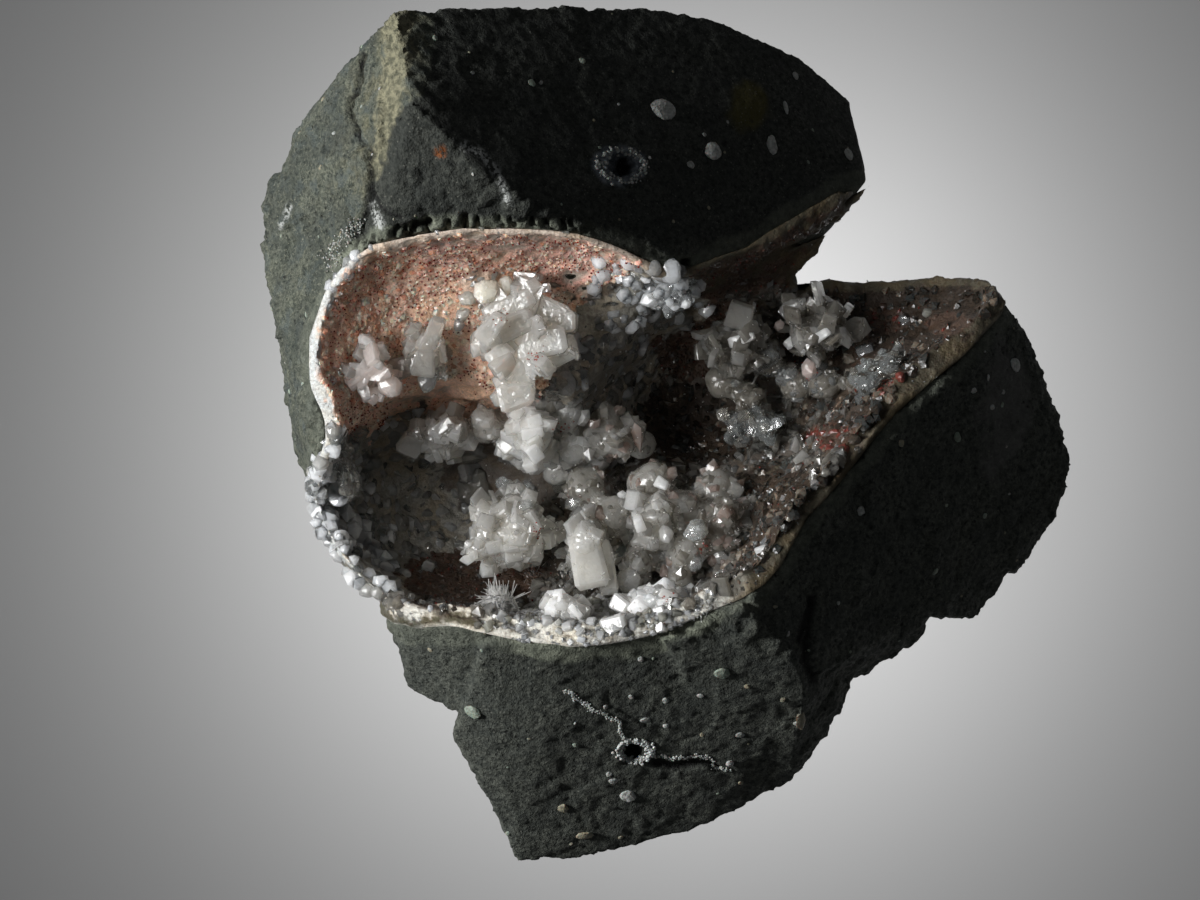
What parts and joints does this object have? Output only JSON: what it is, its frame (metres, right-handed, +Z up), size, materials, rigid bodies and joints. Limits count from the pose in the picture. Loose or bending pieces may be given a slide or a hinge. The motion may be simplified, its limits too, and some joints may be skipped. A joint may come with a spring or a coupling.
{
  "type": "thomsonite specimen",
  "caption": "Broken lump of dark grey-green basalt whose open, rounded cavity is lined with a pale crust and white, clear and pink crystal groups.",
  "frame": {"origin": "under the middle of the lump, on the surface that its flat back rests on", "axes": "+Z up, out of the open cavity; +Y towards the high ridge end; +X towards the cavity's mouth side"},
  "size_m": [0.123, 0.1274, 0.076],
  "materials": {
    "basalt": "matte",
    "crust": "satin",
    "milky_crystal": "satin",
    "clear_crystal": "gloss",
    "rosy_crystal": "satin"
  },
  "bodies": {
    "root": {"basalt_matrix": "basalt", "cavity_crust": "crust", "shelf_blades": "milky_crystal", "shelf_plate": "rosy_crystal", "rosy_tuft": "rosy_crystal", "ledge_blades": "milky_crystal", "middle_column": "milky_crystal", "middle_rosette": "milky_crystal", "pale_dome": "milky_crystal", "needle_spray": "milky_crystal", "tall_blades": "milky_crystal", "round_mass": "milky_crystal", "right_mass": "clear_crystal", "rim_blocks_left": "milky_crystal", "rim_blocks_right": "milky_crystal", "left_rim_beads": "clear_crystal", "blue_beads": "clear_crystal", "channel_blades": "milky_crystal", "mouth_blades": "milky_crystal", "slope_druse": "clear_crystal", "channel_beads": "clear_crystal"}
  },
  "joints": []
}
